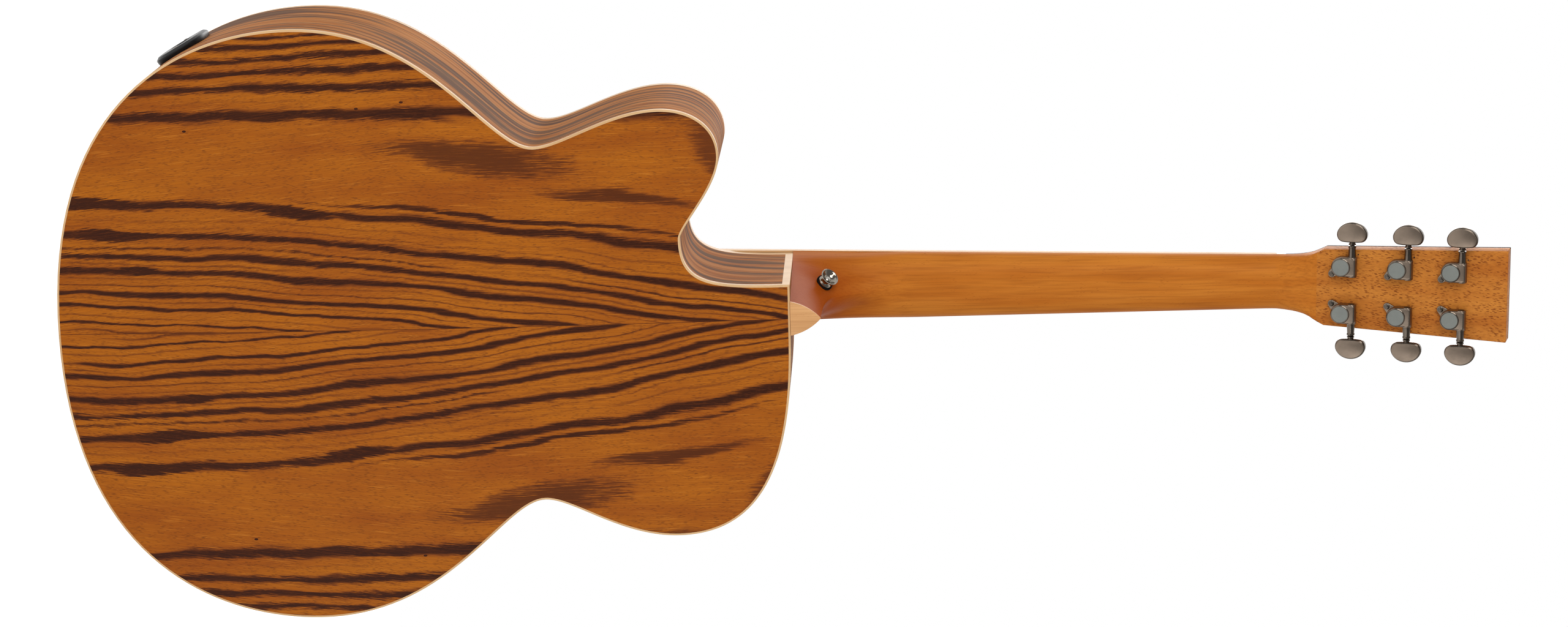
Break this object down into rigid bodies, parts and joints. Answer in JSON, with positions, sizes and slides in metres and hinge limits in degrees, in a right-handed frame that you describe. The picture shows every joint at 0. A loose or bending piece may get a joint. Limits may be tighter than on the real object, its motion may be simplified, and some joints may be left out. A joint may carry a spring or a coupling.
{
  "type": "acoustic guitar",
  "caption": "Jumbo flat-top steel-string guitar with one cutaway, striped back and sides, pale bindings, geared tuners, strap buttons and a side output jack.",
  "frame": {"origin": "on the centre line in front of the neck's glue plane, at the height where a hanger's yoke holds the guitar under its headstock, 18 mm above the nut", "axes": "+Z from the tail to the headstock, +Y towards the back, +X towards the cutaway side; the soundboard's outer face is at Y = 0"},
  "size_m": [0.436, 0.1426, 1.0607],
  "materials": {
    "back_wood": "satin varnish over striped tonewood",
    "side_wood": "satin varnish over striped tonewood",
    "top_wood": "satin varnish over spruce",
    "brace_wood": "bare spruce",
    "maple_trim": "satin varnish over pale maple",
    "neck_wood": "satin varnish over reddish-brown wood",
    "dark_wood": "oiled dark wood",
    "bone": "polished off-white",
    "smoked_metal": "smoked chrome",
    "nickel": "polished nickel",
    "string_metal": "wound bronze and plain steel",
    "felt": "black felt",
    "black_plastic": "black satin plastic",
    "steel_rod": "plain steel"
  },
  "bodies": {
    "guitar": {"back": "back_wood", "bass_side": "side_wood", "treble_side": "side_wood", "soundboard": "top_wood", "back_binding": "maple_trim", "soundboard_binding": "maple_trim", "tail_strip": "maple_trim", "cutaway_strip": "maple_trim", "heel_cap": "maple_trim", "fretboard_binding": "maple_trim", "bridge_plate": "maple_trim", "neck_block": "neck_wood", "tail_block": "neck_wood", "neck": "neck_wood", "headstock": "neck_wood", "soundboard_lining": "brace_wood", "back_lining": "brace_wood", "soundboard_bracing": "brace_wood", "back_bracing": "brace_wood", "rosette": "dark_wood", "headstock_veneer": "dark_wood", "fretboard": "dark_wood", "bridge": "dark_wood", "nut": "bone", "saddle": "bone", "pickup_strip": "black_plastic", "jack_plate": "black_plastic", "jack_socket": "nickel", "heel_strap_button": "nickel", "tail_strap_button": "nickel", "heel_strap_washer": "felt", "tail_strap_washer": "felt", "truss_rod": "steel_rod", "string_1": "string_metal", "tuner_housing_1": "smoked_metal", "string_2": "string_metal", "tuner_housing_2": "smoked_metal", "string_3": "string_metal", "tuner_housing_3": "smoked_metal", "string_4": "string_metal", "tuner_housing_4": "smoked_metal", "string_5": "string_metal", "tuner_housing_5": "smoked_metal", "string_6": "string_metal", "tuner_housing_6": "smoked_metal"},
    "button_1": {"tuner_button_1": "smoked_metal"},
    "post_1": {"string_post_1": "smoked_metal"},
    "button_2": {"tuner_button_2": "smoked_metal"},
    "post_2": {"string_post_2": "smoked_metal"},
    "button_3": {"tuner_button_3": "smoked_metal"},
    "post_3": {"string_post_3": "smoked_metal"},
    "button_4": {"tuner_button_4": "smoked_metal"},
    "post_4": {"string_post_4": "smoked_metal"},
    "button_5": {"tuner_button_5": "smoked_metal"},
    "post_5": {"string_post_5": "smoked_metal"},
    "button_6": {"tuner_button_6": "smoked_metal"},
    "post_6": {"string_post_6": "smoked_metal"}
  },
  "joints": [
    {"name": "button_turn_1", "type": "hinge", "parent": "guitar", "child": "button_1", "pos_m": [0.0177, 0.04274, 0.03297], "axis": [1, 0, 0], "continuous": true},
    {"name": "post_turn_1", "type": "hinge", "parent": "guitar", "child": "post_1", "pos_m": [0.0177, 0.03598, 0.027], "axis": [0, 0.9555, -0.2949], "continuous": true},
    {"name": "button_turn_2", "type": "hinge", "parent": "guitar", "child": "button_2", "pos_m": [0.0177, 0.0548, 0.07205], "axis": [1, 0, 0], "continuous": true},
    {"name": "post_turn_2", "type": "hinge", "parent": "guitar", "child": "post_2", "pos_m": [0.0177, 0.04804, 0.06608], "axis": [0, 0.9555, -0.2949], "continuous": true},
    {"name": "button_turn_3", "type": "hinge", "parent": "guitar", "child": "button_3", "pos_m": [0.0177, 0.0663, 0.10931], "axis": [1, 0, 0], "continuous": true},
    {"name": "post_turn_3", "type": "hinge", "parent": "guitar", "child": "post_3", "pos_m": [0.0177, 0.05954, 0.10334], "axis": [0, 0.9555, -0.2949], "continuous": true},
    {"name": "button_turn_4", "type": "hinge", "parent": "guitar", "child": "button_4", "pos_m": [-0.0177, 0.0663, 0.10931], "axis": [-1, 0, 0], "continuous": true},
    {"name": "post_turn_4", "type": "hinge", "parent": "guitar", "child": "post_4", "pos_m": [-0.0177, 0.05954, 0.10334], "axis": [0, 0.9555, -0.2949], "continuous": true},
    {"name": "button_turn_5", "type": "hinge", "parent": "guitar", "child": "button_5", "pos_m": [-0.0177, 0.0548, 0.07205], "axis": [-1, 0, 0], "continuous": true},
    {"name": "post_turn_5", "type": "hinge", "parent": "guitar", "child": "post_5", "pos_m": [-0.0177, 0.04804, 0.06608], "axis": [0, 0.9555, -0.2949], "continuous": true},
    {"name": "button_turn_6", "type": "hinge", "parent": "guitar", "child": "button_6", "pos_m": [-0.0177, 0.04274, 0.03297], "axis": [-1, 0, 0], "continuous": true},
    {"name": "post_turn_6", "type": "hinge", "parent": "guitar", "child": "post_6", "pos_m": [-0.0177, 0.03598, 0.027], "axis": [0, 0.9555, -0.2949], "continuous": true}
  ],
  "couplings": [
    {"joint": "post_turn_1", "follows": "button_turn_1", "ratio": 0.071429},
    {"joint": "post_turn_2", "follows": "button_turn_2", "ratio": 0.071429},
    {"joint": "post_turn_3", "follows": "button_turn_3", "ratio": 0.071429},
    {"joint": "post_turn_4", "follows": "button_turn_4", "ratio": -0.071429},
    {"joint": "post_turn_5", "follows": "button_turn_5", "ratio": -0.071429},
    {"joint": "post_turn_6", "follows": "button_turn_6", "ratio": -0.071429}
  ]
}
